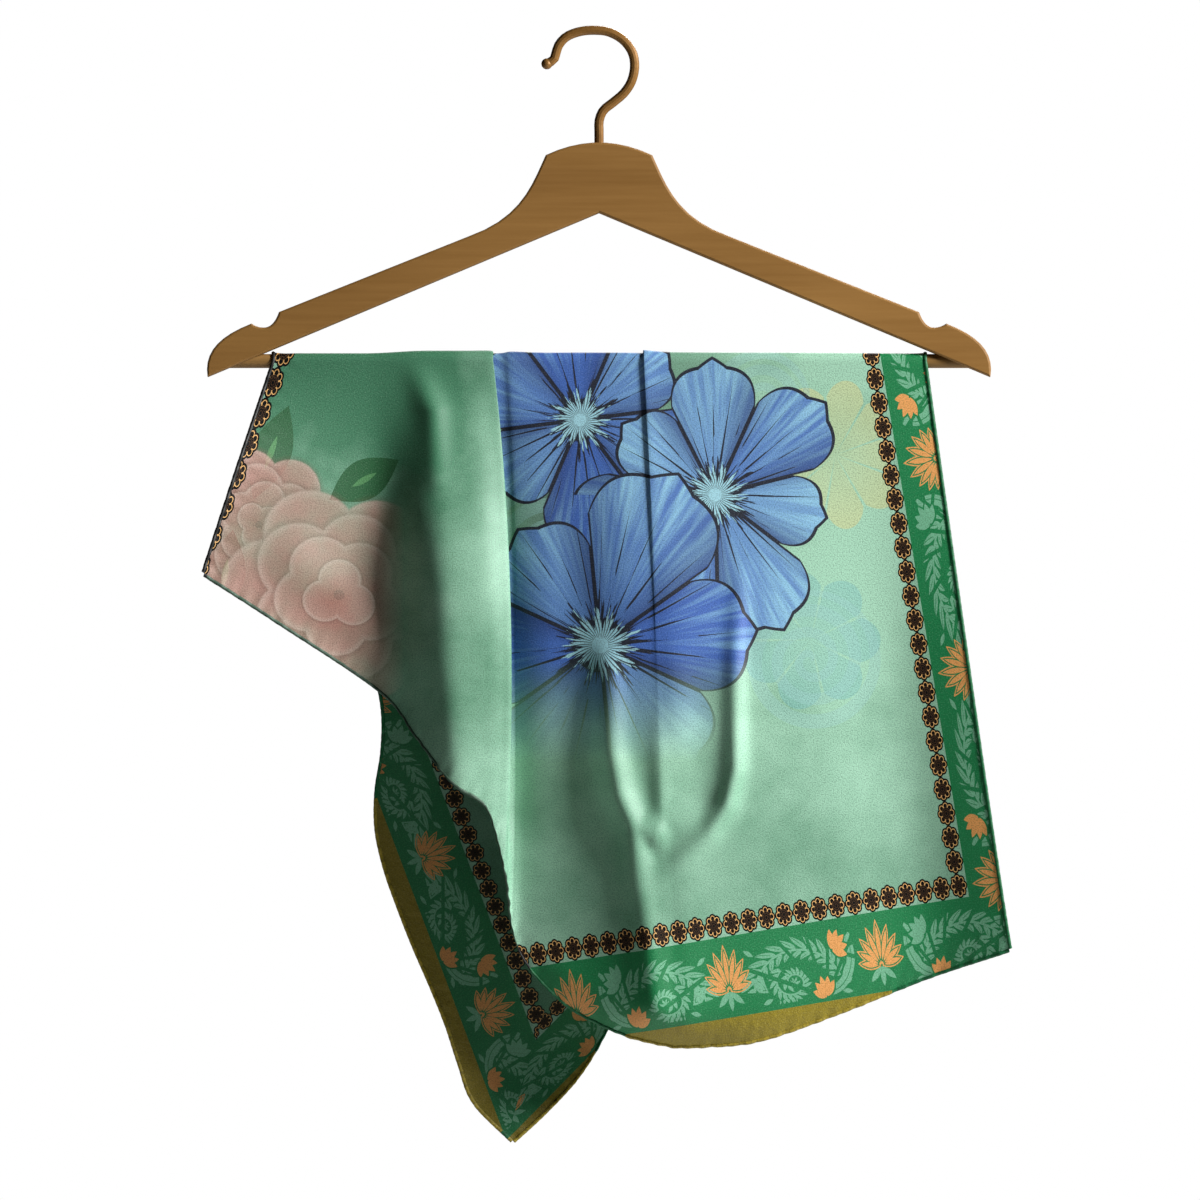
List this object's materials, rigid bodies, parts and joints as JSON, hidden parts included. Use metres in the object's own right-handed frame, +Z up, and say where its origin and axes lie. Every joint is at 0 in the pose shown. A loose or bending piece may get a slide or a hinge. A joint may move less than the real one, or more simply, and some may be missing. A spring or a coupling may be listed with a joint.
{
  "type": "silk square scarf on clothes hanger",
  "caption": "Square silk scarf with a printed border, laid over the trouser bar of a flat notched wooden clothes hanger.",
  "frame": {"origin": "on the inside of the hook, straight above its stem, where a rail carries the hanger", "axes": "+Z up; +X to the right seen from the front; -Y out of the front of the hanger"},
  "size_m": [0.4587, 0.0859, 0.6354],
  "materials": {
    "hanger_wood": "satin varnish",
    "bar_wood": "satin varnish",
    "hook_enamel": "satin",
    "printed_silk": "printed satin weave",
    "hem_silk": "hand-rolled hem"
  },
  "bodies": {
    "root": {"hanger_body": "hanger_wood", "trouser_bar": "bar_wood", "hook": "hook_enamel", "scarf_front": "printed_silk", "scarf_back": "printed_silk", "hem_front": "hem_silk", "hem_back": "hem_silk", "hem_left": "hem_silk", "hem_right": "hem_silk"}
  },
  "joints": []
}
